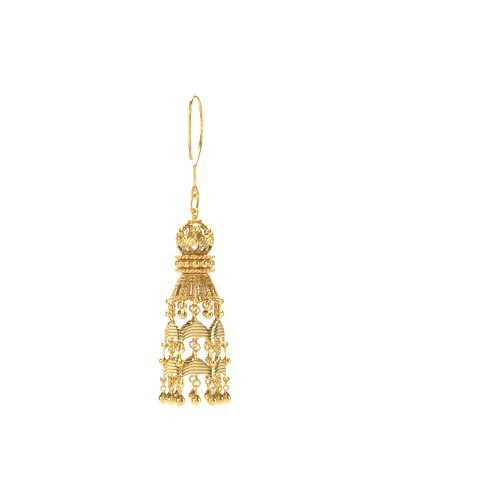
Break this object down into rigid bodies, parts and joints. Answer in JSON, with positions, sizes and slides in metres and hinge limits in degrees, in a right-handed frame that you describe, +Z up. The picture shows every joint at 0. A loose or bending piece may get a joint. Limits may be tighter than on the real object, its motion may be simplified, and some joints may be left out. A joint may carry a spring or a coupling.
{
  "type": "drop earring",
  "caption": "Gold tassel earring: ear hook, swing link, openwork ball, bead collar and woven skirt hung with ribbed crescent plates and polished balls.",
  "frame": {"origin": "inside the top of the ear hook's arch, where the ear carries it", "axes": "+Z up along the hanging earring, -Y towards the viewer who sees a plate face on, +X to that viewer's right"},
  "size_m": [0.019, 0.0168, 0.0804],
  "materials": {
    "gold_polished": "high-karat yellow gold, mirror polished",
    "gold_ribbed": "yellow gold sheet with pressed ribs, polished with a soft grain",
    "gold_filigree": "yellow gold filigree and granulation, polished on the high points and darker in the recesses",
    "gold_woven": "fine loop-in-loop gold mesh with a sparkling, half-matt surface"
  },
  "bodies": {
    "hook": {"ear_hook": "gold_polished"},
    "link": {"swing_link": "gold_polished"},
    "drop": {"openwork_ball": "gold_filigree", "bead_collar": "gold_filigree", "woven_skirt": "gold_woven", "tab_ring_1": "gold_polished", "tab_ring_2": "gold_polished", "tab_ring_3": "gold_polished", "tab_ring_4": "gold_polished", "tab_ring_5": "gold_polished", "tab_ring_6": "gold_polished", "upper_plate_1": "gold_ribbed", "upper_plate_2": "gold_ribbed", "upper_plate_3": "gold_ribbed", "upper_plate_4": "gold_ribbed", "upper_plate_5": "gold_ribbed", "upper_plate_6": "gold_ribbed", "tier_ring_1": "gold_polished", "tier_ring_2": "gold_polished", "tier_ring_3": "gold_polished", "tier_ring_4": "gold_polished", "tier_ring_5": "gold_polished", "tier_ring_6": "gold_polished", "lower_plate_1": "gold_ribbed", "lower_plate_2": "gold_ribbed", "lower_plate_3": "gold_ribbed", "lower_plate_4": "gold_ribbed", "lower_plate_5": "gold_ribbed", "lower_plate_6": "gold_ribbed", "centre_drop_1": "gold_polished", "centre_drop_2": "gold_polished", "centre_drop_3": "gold_polished", "centre_drop_4": "gold_polished", "centre_drop_5": "gold_polished", "centre_drop_6": "gold_polished", "arch_drop_1": "gold_polished", "arch_drop_2": "gold_polished", "arch_drop_3": "gold_polished", "arch_drop_4": "gold_polished", "arch_drop_5": "gold_polished", "arch_drop_6": "gold_polished", "mid_drop_1": "gold_polished", "mid_drop_2": "gold_polished", "mid_drop_3": "gold_polished", "mid_drop_4": "gold_polished", "mid_drop_5": "gold_polished", "mid_drop_6": "gold_polished", "corner_drop_1": "gold_polished", "corner_drop_2": "gold_polished", "corner_drop_3": "gold_polished", "corner_drop_4": "gold_polished", "corner_drop_5": "gold_polished", "corner_drop_6": "gold_polished"}
  },
  "joints": [
    {"name": "link_swing", "type": "hinge", "parent": "hook", "child": "link", "pos_m": [0, 0, -0.02583], "axis": [0.766, -0.6428, 0], "range_deg": [-60, 60]},
    {"name": "drop_swing", "type": "hinge", "parent": "link", "child": "drop", "pos_m": [0, 0, -0.02964], "axis": [0.6428, 0.766, 0], "range_deg": [-60, 60]}
  ]
}
